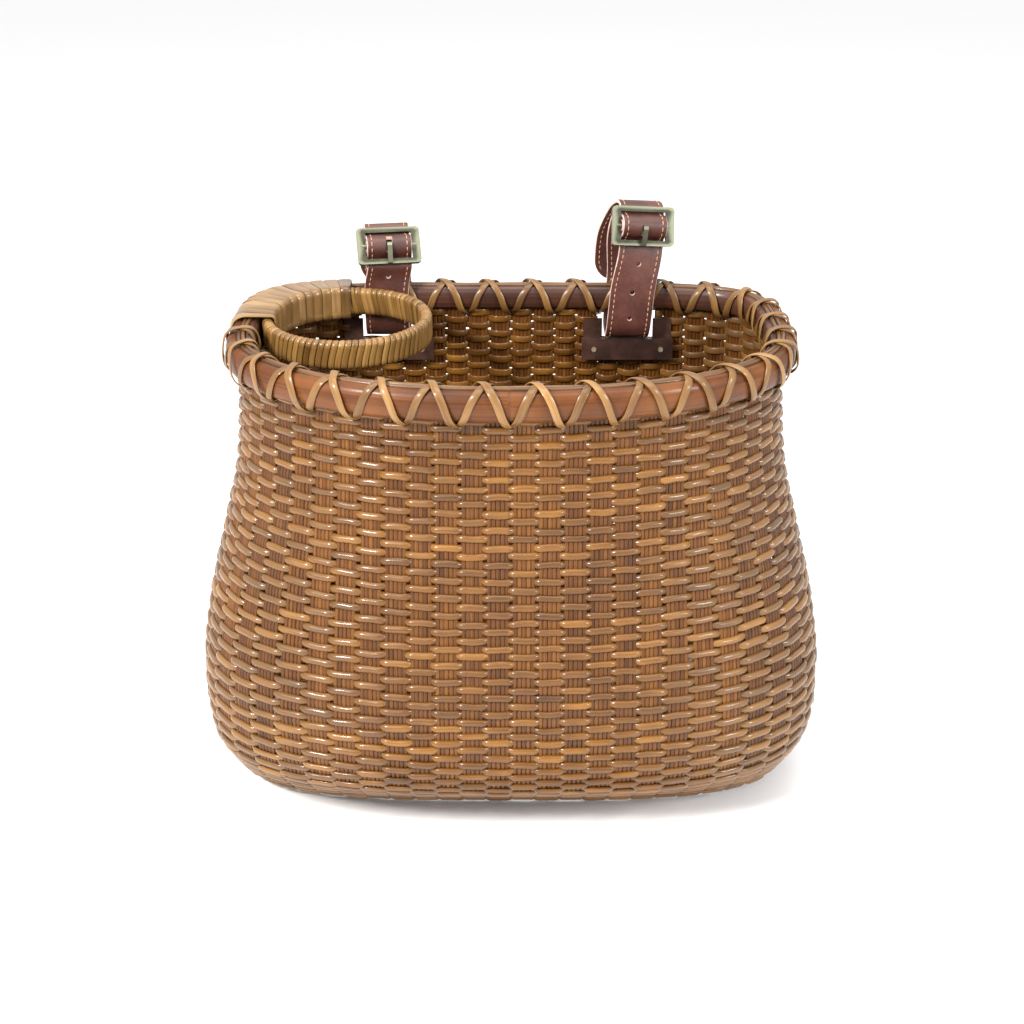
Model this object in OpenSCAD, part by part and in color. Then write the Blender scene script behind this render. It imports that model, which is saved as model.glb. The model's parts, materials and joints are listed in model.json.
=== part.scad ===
// Handlebar basket: woven creel-shaped body, lashed rim, cup ring and two buckled straps.
// Millimetres. +Z up, origin on the floor at the middle of the base. The back wall, with
// the straps, faces +Y; the bulging front faces -Y.

/* [Body] */
// Number of uprights in the wall
uprights_n = 64; // [48:2:72]
// Thickness of the weavers' layer of the wall
weave_t = 2.4; // [2:0.1:3]
// Thickness of an upright
upright_t = 1.3; // [1:0.1:1.6]
// Width of an upright
upright_w = 6.6; // [6:0.1:7.4]
// Thickness of the base panel
base_t = 3.5; // [3:0.1:5]

/* [Rim] */
// Thickness of the outer hoop
outer_hoop_t = 5; // [4:0.1:6]
// Thickness of the inner hoop
inner_hoop_t = 3.3; // [2.5:0.1:3.6]
// Diameter of the two cap canes
cap_d = 1.8; // [1.4:0.1:1.9]
// Width of the lashing cane
lash_w = 3.4; // [2.5:0.1:4]
// Thickness of the lashing cane
lash_t = 0.8; // [0.6:0.1:1]

/* [Cup ring] */
// Inner radius of the ring over its wrapping
ring_ri = 33.5; // [30:0.5:34]
// Outer radius of the ring over its wrapping
ring_ro = 38.5; // [38:0.5:38.5]
// Height of the ring
ring_h = 13; // [11:0.5:14]
// How far the ring dips toward the front, in degrees
ring_tilt = 2.6; // [1.5:0.1:2.8]
// Thickness of the wrapping cane
wrap_t = 0.9; // [0.7:0.1:1.1]
// Width of one binding strip
bind_w = 4; // [3:0.2:4.2]

/* [Straps] */
// Width of the leather strap
strap_w = 21; // [19:0.5:22]
// Thickness of the leather strap
strap_t = 1.8; // [1.5:0.1:1.9]
// Distance of the left strap slot from the middle of the basket
strap_x = 59.5; // [58:0.5:61]
// Distance of the right strap slot from the middle of the basket
strap_xr = 56.5; // [56:0.5:58]
// Width of a strap slot
slot_w = 24.5; // [24:0.5:26]

/* [Buckles] */
// Outer width of a buckle frame
buckle_w = 30; // [29.5:0.5:32]
// Outer height of a buckle frame
buckle_h = 18.5; // [18.5:0.5:20]
// Thickness of a buckle frame
buckle_t = 2; // [1.8:0.1:2.2]
// Diameter of the middle bar
bar_d = 2.4; // [2.2:0.1:2.5]

/* [Hidden] */
NA = 80;             // points round a section
rim_z0 = 186;        // underside of the outer hoop
rim_z1 = 199.4;      // top of the hoops
wall_top = 197;
slot_z0 = 174;       // bottom of the strap slots
piv_y = 78.2;        // middle of the rim's thickness at the back
piv_z = 177.5;         // height of the straps' bottom pass
ring_x = -74.5;
ring_y = 28.6;
ring_z0 = 188.5;
wall_all = weave_t + upright_t + 0.1;

cane = [0.72, 0.47, 0.24];
cane_dark = [0.45, 0.24, 0.13];
cane_pale = [0.80, 0.62, 0.36];
leather = [0.42, 0.24, 0.20];
bronze = [0.42, 0.43, 0.33];

// Outer surface of the wall: height against half width, front, back and front roundness
T_A = [[0,114],[4,123],[10,127.5],[18,131.5],[30,136.5],[45,138.5],[60,138.5],[80,136.7],
  [100,132.6],[120,127.8],[140,123.3],[160,121],[175,120.5],[200,120.5]];
T_F = [[0,-60],[4,-69],[10,-76],[18,-87],[30,-101],[45,-106],[60,-106],[80,-102.5],
  [100,-97],[120,-90.5],[140,-84],[160,-79],[175,-76.5],[186,-75.5],[200,-75.5]];
T_B = [[0,64],[4,73],[10,78],[18,81],[30,83],[45,84],[60,84],[80,83.5],[100,83],[120,82],
  [140,81],[160,80],[175,79.5],[200,79.5]];
T_N = [[0,3.6],[30,2.8],[70,2.65],[120,2.4],[186,2.2],[200,2.2]];
nb = 5;
function yc(z) = 9 - 24 * min(1, max(0, (200 - z) / 140));
// Point of the section at height z. t runs from the middle of the front (0) to the
// middle of the back (180) on the +X side, and on round the -X side.
function sec0(z, t) = let(s = sin(t), c = -cos(t), m = c < 0 ? lookup(z, T_N) : nb,
    b = c < 0 ? yc(z) - lookup(z, T_F) : lookup(z, T_B) - yc(z),
    k = pow(pow(abs(s), m) + pow(abs(c), m), -1 / m))
  [lookup(z, T_A) * s * k, yc(z) + b * c * k];
function secn(z, t) = let(d = sec0(z, t + 0.8) - sec0(z, t - 0.8)) [d[1], -d[0]] / norm(d);
// The same point moved outward by off, square to the section
function sec(z, t, off = 0) = sec0(z, t) + off * secn(z, t);
ts = [for (i = [0:NA - 1]) 360 * i / NA];
// The wall stands straight behind the hoops
function straight(z) = z > 185 ? 190 : z;
wall_zs = [base_t, 8, 16, 26, 38, 54, 74, 96, 120, 144, 168, 185.4];
function foot(z) = weave_t + 2.6 * max(0, 1 - z / 30);

// Even spacing: t of a point a share u of the way round, by length along the section
function cum(z) = [for (i = 0, s = 0; i <= 60; s = s + norm(sec0(z, 3 * (i + 1)) - sec0(z, 3 * i)), i = i + 1) [s, 3 * i]];
function half_len(z) = cum(z)[60][0];
function slot_x(s) = s > 0 ? strap_xr : -strap_x;
function ease(x) = let(y = min(1, max(0, x))) y * y * (3 - 2 * y);
ref_len = half_len(186);
function t_at(z, u) = let(h = u <= 0.5 ? u * 2 : (1 - u) * 2,
    s = ref_len * h + (half_len(z) - ref_len) * ease((h - 0.15) / 0.7),
    t = lookup(s, cum(z))) u <= 0.5 ? t : 360 - t;

// Closed tube through rings of points; loop joins the last ring to the first
module rings(R, loop = false) {
  n = len(R); k = len(R[0]);
  pts = [for (r = R) for (p = r) p];
  side = [for (i = [0:(loop ? n - 1 : n - 2)]) for (j = [0:k - 1])
    let(a = i * k + j, b = i * k + (j + 1) % k, c = ((i + 1) % n) * k + (j + 1) % k, d = ((i + 1) % n) * k + j)
    each [[a, b, c], [a, c, d]]];
  ends = loop ? [] : [[for (j = [k - 1:-1:0]) j], [for (j = [0:k - 1]) (n - 1) * k + j]];
  polyhedron(pts, concat(side, ends), convexity = 8);
}

// Profile [off, z] swept round the rim
module hoop(profile) {
  rings([for (t = ts) [for (p = profile) let(q = sec(190, t, p[0])) [q[0], q[1], p[1]]]], true);
}

module slot_cutters(grow = 0, drop = 0) {
  for (s = [-1, 1]) translate([slot_x(s) - slot_w / 2 - grow, 60, slot_z0 - drop]) cube([slot_w + 2 * grow, 30, 40]);
}

module woven_wall() {
  zs = concat(wall_zs, [wall_top]);
  lv = concat([for (z = zs) [z, 0]], [for (i = [len(zs) - 1:-1:0]) [zs[i], -foot(zs[i])]]);
  color(cane) difference() {
    rings([for (t = ts) [for (l = lv) let(q = sec(straight(l[0]), t, l[1])) [q[0], q[1], l[0]]]], true);
    for (s = [-1, 1]) translate([slot_x(s) - slot_w / 2, 60, slot_z0]) cube([slot_w, 30, rim_z0 - slot_z0 + 1]);
  }
}

module woven_base() {
  color(cane_dark) linear_extrude(height = base_t) polygon([for (t = ts) sec(1.6, t)]);
}

// One upright on the inner side of the wall, at share u of the way round
module upright(u) {
  zs = concat([base_t + 0.1], [for (i = [1:len(wall_zs) - 1]) wall_zs[i]]);
  rings([for (z = zs) let(q = straight(z), t = t_at(q, u), k = -foot(z) - 0.65, a = sec(q, t, k), n = secn(q, t), d = [-n[1], n[0]] * upright_w / 2,
      b = a - n * upright_t)
    [[a[0] - d[0], a[1] - d[1], z], [b[0] - d[0], b[1] - d[1], z], [b[0] + d[0], b[1] + d[1], z], [a[0] + d[0], a[1] + d[1], z]]]);
}

module wall_uprights() {
  color(cane_dark) difference() {
    for (i = [0:uprights_n - 1]) upright((i + 0.5) / uprights_n);
    slot_cutters(10, 11.4);
  }
}

module rim_outer_hoop() {
  o = outer_hoop_t;
  color(cane_dark) hoop([[0.05, rim_z0 + 0.4], [0.05, rim_z1], [0.55 * o, rim_z1 - 0.2], [0.86 * o, rim_z1 - 2.6],
    [o, (rim_z0 + rim_z1) / 2], [0.86 * o, rim_z0 + 2.6], [0.5 * o, rim_z0]]);
}

module rim_inner_hoop() {
  k = -wall_all - 0.05; o = inner_hoop_t;
  color(cane_dark) difference() {
    hoop([[k, rim_z1], [k, wall_top + 0.4], [-weave_t - 0.1, wall_top + 0.4], [-weave_t - 0.1, rim_z0 + 2.2],
      [k - 0.6 * o, rim_z0 + 2.2], [k - o, rim_z0 + 4.5], [k - o, rim_z1 - 2.2], [k - 0.6 * o, rim_z1]]);
    translate([ring_x, ring_y, rim_z0 - 1]) cylinder(h = 20, r = ring_ro + 0.2, $fn = 96);
  }
}

module rim_cap_canes() {
  r = cap_d / 2;
  color(cane_pale) for (k = [-1.9 + r + 0.05, -1.9 - r - 0.05])
    hoop([for (a = [0:60:300]) [k + r * cos(a), 199.2 + r * sin(a)]]);
}

// Lashing: the cane climbs the outside, crosses the top and drops down the inside
function bound(u) = let(q = sec(190, t_at(190, u))) q[0] < -66 && q[1] > 12;
lash = [[0.6, 184.4], [5.9, 187.1], [5.85, 194.6], [4.3, 200], [-1.9, 201.3], [-6.8, 200.5], [-8.6, 195.4], [-8.4, 188]];
free = [for (i = [0:uprights_n / 2 - 1]) if (!bound((i + 0.05) * 2 / uprights_n) && !bound((i + 0.95) * 2 / uprights_n)) i];
gap_at = [for (k = [1:len(free) - 1]) if (free[k] - free[k - 1] > 1) free[k]][0];
module strand(dir, lift) {
  n = uprights_n / 2;
  m = len(free) * 8;
  c = [-2.3, 193];
  us = [for (j = [0:m]) (gap_at + (dir > 0 ? j : m - j) / 8) / n];
  pt = [for (j = [0:m]) let(p = lash[j % 8], e = p - c, q = p + e / norm(e) * lift, x = sec(190, t_at(190, us[j] % 1), q[0])) [x[0], x[1], q[1]]];
  nr = [for (j = [0:m]) let(e = (lash[j % 8] - c) / norm(lash[j % 8] - c), x = secn(190, t_at(190, us[j] % 1))) [x[0] * e[0], x[1] * e[0], e[1]]];
  rings([for (j = [0:m]) let(tg = pt[min(m, j + 1)] - pt[max(0, j - 1)], w = cross(tg, nr[j]),
      ww = w / norm(w) * lash_w / 2, h = nr[j] * lash_t / 2)
    [pt[j] - ww - h, pt[j] - ww + h, pt[j] + ww + h, pt[j] + ww - h]]);
}

module rim_lashing_a() { color(cane_pale) strand(1, 0); }
module rim_lashing_b() { color(cane_pale) strand(-1, lash_t + 0.3); }

// Rounded upright section of the cup ring, made of plain squares and circles
module ring_section(r0, r1, z0, z1, r) {
  translate([r0 + r, z0]) square([r1 - r0 - 2 * r, z1 - z0]);
  translate([r0, z0 + r]) square([r1 - r0, z1 - z0 - 2 * r]);
  for (x = [r0 + r, r1 - r]) for (z = [z0 + r, z1 - r]) translate([x, z]) circle(r = r, $fn = 32);
}

// The ring hangs from its back edge and dips toward the front
module tilted() {
  translate([ring_x, ring_y + ring_ro, ring_z0 + ring_h / 2]) rotate([ring_tilt, 0, 0]) translate([0, -ring_ro, -ring_h / 2]) children();
}
function dip(a) = (36 * sin(a) - ring_ro) * sin(ring_tilt);

module cup_ring_core() {
  color(cane_dark) tilted() rotate_extrude($fn = 96)
    ring_section(ring_ri + wrap_t, ring_ro - wrap_t, wrap_t, ring_h - wrap_t, 1.2);
}

module cup_ring_wrap() {
  color(cane_pale) tilted() rotate_extrude($fn = 96) difference() {
    ring_section(ring_ri, ring_ro, 0, ring_h, 2);
    ring_section(ring_ri + wrap_t, ring_ro - wrap_t, wrap_t, ring_h - wrap_t, 1.2);
  }
}

// Distance from the ring's centre to the outside of the rim, in direction a
function reach(a) = let(h = [for (t = [180:1:300]) let(q = sec(190, t, outer_hoop_t) - [ring_x, ring_y],
    e = abs(q[0] * sin(a) - q[1] * cos(a))) if (q[0] * cos(a) + q[1] * sin(a) > 0) [e, norm(q)]], m = min([for (x = h) x[0]]))
  [for (x = h) if (x[0] == m) x[1]][0];

module cup_ring_binding() {
  color(cane_pale) for (i = [0:12]) {
    a = 97 + i * 7.8;
    ro = reach(a) + 0.4;
    d = dip(a);
    translate([ring_x, ring_y, 0]) rotate([0, 0, a]) translate([0, bind_w / 2, 0]) rotate([90, 0, 0])
      linear_extrude(height = bind_w) difference() {
        polygon([[ring_ri - 1.5, 187 + d], [ro - 6.8, 183.7], [ro - 1.6, 183.9], [ro + 1, 187.1], [ro + 1, 196.3],
          [ro - 1, 200.6], [ro - 5, 202.3], [ring_ri - 1.5, 202.9 + d]]);
        polygon([[ring_ri - 0.5, 187.8 + d], [ro - 6.6, 184.7], [ro - 2, 184.9], [ro, 187.4], [ro, 196],
          [ro - 1.6, 199.8], [ro - 5.2, 201.3], [ring_ri - 0.5, 201.9 + d]]);
      }
  }
}

module slot_posts(s) {
  color([0.25, 0.15, 0.11]) for (k = [-1, 1]) translate([slot_x(s) + k * (slot_w / 2 + 4.5) - 4.5, 73.3, 164]) cube([9, 1.2, 19.4]);
}

module slot_bar(s) {
  color([0.30, 0.18, 0.12]) difference() {
    translate([slot_x(s) - 22, 70.2, 163.5]) cube([44, 3, 10.5]);
    for (k = [-1, 1]) translate([slot_x(s) + k * 16.2, 80, 168.8]) rotate([90, 0, 0]) cylinder(h = 14, r = 0.8, $fn = 24);
  }
}

module slot_pins(s) {
  color(bronze) for (k = [-1, 1]) translate([slot_x(s) + k * 16.2, 73.2, 168.8]) rotate([90, 0, 0]) {
    cylinder(h = 3.5, r = 0.75, $fn = 24);
    translate([0, 0, 3.02]) cylinder(h = 0.6, r = 1.2, $fn = 32);
  }
}

// Strap loops. Each row is [back, up] from the middle of the strap slot, along the leather
// from its folded end, round the back, in through the slot and up to the pointed tip.
BACK_R = [[-1.8,57.2],[1.8,57.4],[5.6,55.8],[9.6,51.6],[12.8,44.8],[14.6,35.5],[15,24],[14.8,13],[12.6,3.6],[8.4,-0.9],[3,-1.7],
  [-4,-1.7],[-9.4,-0.6],[-12.8,3.6],[-14,10],[-14.2,18],[-14,26],[-13.4,34],[-12.8,39]];
TAIL_R = [[-2.2,61.9],[1.6,61.7],[5.6,60],[9.8,56.2],[13.3,50.7],[16,44.1],[17.4,35.6],[17.7,27],[17.5,19]];
BACK_L = [[1.6,46.2],[5,44.4],[8.2,41.2],[11,36.4],[13,30],[13.7,23],[13.6,15],[12.6,6.6],[9.6,0.6],[4.6,-1.6],[-2,-1.7],
  [-5.6,-0.6],[-8.6,3],[-9.9,8],[-10.1,16],[-10.2,22],[-10.7,28]];
TAIL_L = [[1,50.6],[4.8,49.2],[8.6,46.2],[11.8,41.8],[14.3,36.1],[15.8,30.1],[16.4,23.5],[16.4,17]];
// Middle bar [back, up], tilt back, turn of the buckle, sideways lean of the loop
B_R = [-11.2, 53, 20];
B_L = [-9.1, 43, 38];
// At the buckle, [up, out] from the middle bar in the frame's own plane: the folded end
// round the bar, and the tongue behind the lower edge, over the bar, behind the upper edge
FOLD = [[1.6,-6.6],[0,-4.9],[-1.3,-3],[-2.1,-1.1],[-2,0.8],[-0.8,2.05],[0.8,2.05],[2,0.9],[2.5,-1],[3.2,-3],[4.4,-4.9]];
TONGUE = [[-9.4,-2.8],[-7.2,-2.6],[-5.6,-1.75],[-4.7,0],[-4,1.9],[-2.6,3.4],[-0.8,4.15],[1,4.1],[2.8,3.2],[4,1.6],[4.7,-0.1],[5.6,-1.9],[7.4,-2.6],[9.6,-3]];
function at_bar(B, P) = [for (p = P) [B[0] + p[0] * sin(B[2]) - p[1] * cos(B[2]), B[1] + p[0] * cos(B[2]) + p[1] * sin(B[2])]];
// How far the tail's tip hangs to one side
drift_r = 7; drift_l = 4;
turn_r = 10; turn_l = 10; lean_r = 4.5; lean_l = 0;
function turn(s, w) = (s > 0 ? turn_r : turn_l) * ease((w - 20) / (s > 0 ? 26 : 16));
function lean(s) = s > 0 ? lean_r : lean_l;
function place(s, v, w) = let(a = turn(s, w)) [slot_x(s) - (s > 0 ? 0.5 : 0) + max(0, w) * tan(lean(s)) - v * sin(a), piv_y + v * cos(a), piv_z + w];
function across(s, w) = let(a = turn(s, w)) [cos(a) * cos(lean(s)), sin(a), -sin(lean(s)) * cos(a) * ease(w / 10)];
function cr(a, b, c, d, t) = 0.5 * ((2 * b) + (c - a) * t + (2 * a - 5 * b + 4 * c - d) * t * t + (3 * b - a - 3 * c + d) * t * t * t);
function smooth(P, k) = let(n = len(P)) concat([for (i = [0:n - 2]) for (j = [0:k - 1])
  cr(P[max(0, i - 1)], P[i], P[i + 1], P[min(n - 1, i + 2)], j / k)], [P[n - 1]]);
function path(s) = smooth(s > 0 ? concat(at_bar(B_R, FOLD), BACK_R, at_bar(B_R, TONGUE), TAIL_R)
  : concat(at_bar(B_L, FOLD), BACK_L, at_bar(B_L, TONGUE), TAIL_L), 2);

// A band w0 to w1 across the strap and h0 to h1 through it, along the whole loop
module band(s, w0, w1, h0, h1, tip = false) {
  P = path(s); n = len(P); nt = 2 * len(s > 0 ? TAIL_R : TAIL_L);
  dr = s > 0 ? drift_r : drift_l;
  rings([for (i = [0:n - 1]) let(p = P[i], a = place(s, P[max(0, i - 1)][0], P[max(0, i - 1)][1]),
      b = place(s, P[min(n - 1, i + 1)][0], P[min(n - 1, i + 1)][1]), tg = (b - a) / norm(b - a),
      ax = across(s, p[1]) / norm(across(s, p[1])), nn = cross(ax, tg), m = nn / norm(nn), c = place(s, p[0], p[1]) - [dr * ease((i - n + nt) / nt), 0, 0],
      f = tip && i > n - 4 ? [1, 0.93, 0.78, 0.45][i - n + 4] : 1)
    [c + ax * w0 * f + m * h0, c + ax * w1 * f + m * h0, c + ax * w1 * f + m * h1, c + ax * w0 * f + m * h1]]);
}

module at_buckle(s) {
  B = s > 0 ? B_R : B_L;
  translate(place(s, B[0], B[1])) rotate([0, 0, turn(s, B[1])]) rotate([0, lean(s), 0]) rotate([-B[2], 0, 0]) children();
}

module strap(s) {
  color(leather) difference() {
    band(s, -strap_w / 2, strap_w / 2, -strap_t / 2, strap_t / 2, true);
    at_buckle(s) translate([-1.6, -6.5, -4.2]) cube([3.2, 8.6, 7.4]);
    for (w = (s > 0 ? [36, 22, 8.5] : [29])) translate(place(s, -3, w)) rotate([90, 0, turn(s, w)]) cylinder(h = 20, r = 1, $fn = 24);
  }
}

module strap_thread(s) {
  color([0.75, 0.55, 0.38]) difference() {
    for (k = [-1, 1]) band(s, k * (strap_w / 2 - 2.2) - 0.35, k * (strap_w / 2 - 2.2) + 0.35, -strap_t / 2 - 0.5, -strap_t / 2 - 0.18);
    at_buckle(s) translate([-15, -10, -6]) cube([30, 14, 12]);
  }
}

module buckle_frame(s) {
  color(bronze) at_buckle(s) {
    difference() {
      translate([0, buckle_t / 2, 0]) rotate([90, 0, 0]) linear_extrude(height = buckle_t) {
        square([buckle_w - 4, buckle_h], center = true);
        square([buckle_w, buckle_h - 4], center = true);
        for (x = [-1, 1]) for (z = [-1, 1]) translate([x * (buckle_w / 2 - 2), z * (buckle_h / 2 - 2)]) circle(r = 2, $fn = 32);
      }
      translate([-buckle_w / 2 + 4, -buckle_t, -buckle_h / 2 + 2.5]) cube([buckle_w - 8, 2 * buckle_t, buckle_h - 5]);
    }
    translate([-buckle_w / 2 + 2, 0, 0]) rotate([0, 90, 0]) cylinder(h = buckle_w - 4, d = bar_d, $fn = 32);
  }
}

// Prong: an eye round the middle bar and an arm that comes out through the strap hole
module buckle_prong(s) {
  color(bronze) at_buckle(s) difference() {
    union() {
      rotate([0, 90, 0]) cylinder(h = 2.2, r = 2.2, center = true, $fn = 32);
      translate([-1.1, 0, 0]) rotate([90, 0, 90]) linear_extrude(height = 2.2)
        polygon([[0, 1.3], [-4.4, 0.3], [-6, -0.8], [-6.2, -2.2], [-4.2, -6.2], [-2.4, -9.4], [-1.35, -9.4], [-1.35, -7.6], [-4.6, -2.6], [-4.2, -1.6], [0, -1.3]]);
    }
    rotate([0, 90, 0]) cylinder(h = 4, d = bar_d + 0.2, center = true, $fn = 32);
  }
}

woven_wall();
woven_base();
wall_uprights();
rim_outer_hoop();
rim_inner_hoop();
rim_cap_canes();
rim_lashing_a();
rim_lashing_b();
cup_ring_core();
cup_ring_wrap();
cup_ring_binding();
slot_posts(-1);  // slot_posts_left
slot_posts(1);  // slot_posts_right
slot_bar(-1);  // slot_bar_left
slot_bar(1);  // slot_bar_right
slot_pins(-1);  // slot_pins_left
slot_pins(1);  // slot_pins_right
strap(-1);  // strap_left
strap(1);  // strap_right
strap_thread(-1);  // strap_thread_left
strap_thread(1);  // strap_thread_right
buckle_frame(-1);  // buckle_frame_left
buckle_frame(1);  // buckle_frame_right
buckle_prong(-1);  // buckle_prong_left
buckle_prong(1);  // buckle_prong_right
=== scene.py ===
import bpy, bmesh, json, math
import numpy as np
from mathutils import Vector, Matrix

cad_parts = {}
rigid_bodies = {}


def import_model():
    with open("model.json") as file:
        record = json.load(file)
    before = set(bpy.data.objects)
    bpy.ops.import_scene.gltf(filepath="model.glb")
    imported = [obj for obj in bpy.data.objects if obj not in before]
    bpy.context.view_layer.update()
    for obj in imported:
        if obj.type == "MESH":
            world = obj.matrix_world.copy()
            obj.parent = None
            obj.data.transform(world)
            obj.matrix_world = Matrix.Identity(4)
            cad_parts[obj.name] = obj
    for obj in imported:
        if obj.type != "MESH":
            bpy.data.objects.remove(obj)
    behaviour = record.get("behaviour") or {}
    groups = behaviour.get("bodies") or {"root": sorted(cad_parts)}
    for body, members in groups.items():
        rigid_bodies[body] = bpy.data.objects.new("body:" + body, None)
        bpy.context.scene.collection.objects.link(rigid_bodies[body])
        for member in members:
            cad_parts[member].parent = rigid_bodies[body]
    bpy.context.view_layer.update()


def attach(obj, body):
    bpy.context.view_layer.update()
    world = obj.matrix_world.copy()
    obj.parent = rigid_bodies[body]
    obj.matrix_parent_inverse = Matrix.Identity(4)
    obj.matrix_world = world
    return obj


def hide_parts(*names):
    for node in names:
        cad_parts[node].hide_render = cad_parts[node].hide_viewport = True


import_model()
rng = np.random.RandomState(7)
MM = 0.001

# ---------------------------------------------------------------- camera
cam = bpy.data.objects.new("cam", bpy.data.cameras.new("cam"))
bpy.context.scene.collection.objects.link(cam)
cam.location = (0.0, -0.676, 0.4125)
cam.rotation_euler = (math.radians(90 - 22.09), 0, 0)
cam.data.lens = 56.6
cam.data.sensor_width = 36
cam.data.shift_x = 0.001
cam.data.shift_y = -0.0488
cam.data.clip_start = 0.01
bpy.context.scene.camera = cam

# ---------------------------------------------------------------- form of the basket (mm)
T_A = [[0,114],[4,123],[10,127.5],[18,131.5],[30,136.5],[45,138.5],[60,138.5],[80,136.7],
  [100,132.6],[120,127.8],[140,123.3],[160,121],[175,120.5],[200,120.5]]
T_F = [[0,-60],[4,-69],[10,-76],[18,-87],[30,-101],[45,-106],[60,-106],[80,-102.5],
  [100,-97],[120,-90.5],[140,-84],[160,-79],[175,-76.5],[186,-75.5],[200,-75.5]]
T_B = [[0,64],[4,73],[10,78],[18,81],[30,83],[45,84],[60,84],[80,83.5],[100,83],[120,82],
  [140,81],[160,80],[175,79.5],[200,79.5]]
T_N = [[0,3.6],[30,2.8],[70,2.65],[120,2.4],[186,2.2],[200,2.2]]

def table(T):
    T = np.array(T, float); x, y = T[:, 0], T[:, 1]
    h = np.diff(x); d = np.diff(y) / h
    m = np.zeros(len(x)); m[0], m[-1] = d[0], d[-1]
    for i in range(1, len(x) - 1):
        if d[i-1] * d[i] > 0:
            w1, w2 = 2*h[i] + h[i-1], h[i] + 2*h[i-1]
            m[i] = (w1 + w2) / (w1/d[i-1] + w2/d[i])
    def f(q):
        q = np.clip(np.asarray(q, float), x[0], x[-1])
        i = np.clip(np.searchsorted(x, q) - 1, 0, len(x) - 2)
        t = (q - x[i]) / h[i]
        return ((2*t**3 - 3*t**2 + 1)*y[i] + (t**3 - 2*t**2 + t)*h[i]*m[i]
                + (-2*t**3 + 3*t**2)*y[i+1] + (t**3 - t**2)*h[i]*m[i+1])
    return f
fA, fF, fB, fN = table(T_A), table(T_F), table(T_B), table(T_N)

def yc(z): return 9 - 24*np.clip((200 - z)/140, 0, 1)
def sec0(z, t):
    s, c = np.sin(t), -np.cos(t)
    m = np.where(c < 0, fN(z), 5.0)
    b = np.where(c < 0, yc(z) - fF(z), fB(z) - yc(z))
    k = (np.abs(s)**m + np.abs(c)**m + 1e-12)**(-1/m)
    return np.stack([fA(z)*s*k, yc(z) + b*c*k], -1)
def ease(x):
    y = np.clip(x, 0, 1); return y*y*(3 - 2*y)
TD = np.linspace(0, math.pi, 721)
def half(z):
    p = sec0(z, TD); s = np.concatenate([[0], np.cumsum(np.linalg.norm(np.diff(p, axis=0), axis=1))])
    return s
REF = half(186.0)[-1]
def t_at(z, u):
    u = np.mod(u, 1.0)
    h = np.where(u <= 0.5, 2*u, 2*(1 - u))
    c = half(z)
    s = REF*h + (c[-1] - REF)*ease((h - 0.15)/0.7)
    t = np.interp(s, c, TD)
    return np.where(u <= 0.5, t, 2*math.pi - t)
def surf(z, u):
    """points (n,3) on the outer surface at height z"""
    p = sec0(z, t_at(z, u))
    return np.column_stack([p, np.full(len(p), float(z))])
def surf_frame(z, u):
    p = surf(z, u); e = 0.4/700
    tg = surf(z, u + e) - surf(z, u - e); tg /= np.linalg.norm(tg, axis=1)[:, None]
    zu, zd = min(z + 0.7, 199.9), max(z - 0.7, 0.02)
    up = surf(zu, u) - surf(zd, u); up /= np.linalg.norm(up, axis=1)[:, None]
    n = np.cross(tg, up); n /= np.linalg.norm(n, axis=1)[:, None]
    up = np.cross(n, tg)
    return p, tg, up, n
NS = 64      # uprights

# ---------------------------------------------------------------- mesh helpers
def new_obj(name, V, F, mats, mat_idx=None, attrs=None, smooth=True, angle=None):
    me = bpy.data.meshes.new(name)
    V = np.asarray(V, float)
    me.vertices.add(len(V)); me.vertices.foreach_set("co", (V*MM).ravel())
    F = [np.asarray(f) for f in F] if not isinstance(F, np.ndarray) else F
    if isinstance(F, np.ndarray):
        k = F.shape[1]; n = len(F)
        me.loops.add(n*k); me.loops.foreach_set("vertex_index", F.ravel().astype(np.int32))
        me.polygons.add(n)
        me.polygons.foreach_set("loop_start", np.arange(0, n*k, k, dtype=np.int32))
    else:
        ls = np.array([len(f) for f in F]); n = len(F)
        me.loops.add(int(ls.sum())); me.loops.foreach_set("vertex_index", np.concatenate(F).astype(np.int32))
        me.polygons.add(n)
        me.polygons.foreach_set("loop_start", np.concatenate([[0], np.cumsum(ls)[:-1]]).astype(np.int32))
    me.update(calc_edges=True)
    me.validate()
    if attrs:
        for an, (kind, data) in attrs.items():
            a = me.attributes.new(an, kind, "POINT")
            a.data.foreach_set("vector" if kind == "FLOAT_VECTOR" else "value", np.asarray(data, float).ravel())
    for m in (mats if isinstance(mats, (list, tuple)) else [mats]):
        me.materials.append(m)
    if mat_idx is not None:
        me.polygons.foreach_set("material_index", np.asarray(mat_idx, dtype=np.int32))
    me.polygons.foreach_set("use_smooth", np.ones(len(me.polygons), dtype=bool) if smooth else np.zeros(len(me.polygons), dtype=bool))
    if angle is not None:
        me.set_sharp_from_angle(angle=math.radians(angle))
    ob = bpy.data.objects.new(name, me)
    bpy.context.scene.collection.objects.link(ob)
    return ob

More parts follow.
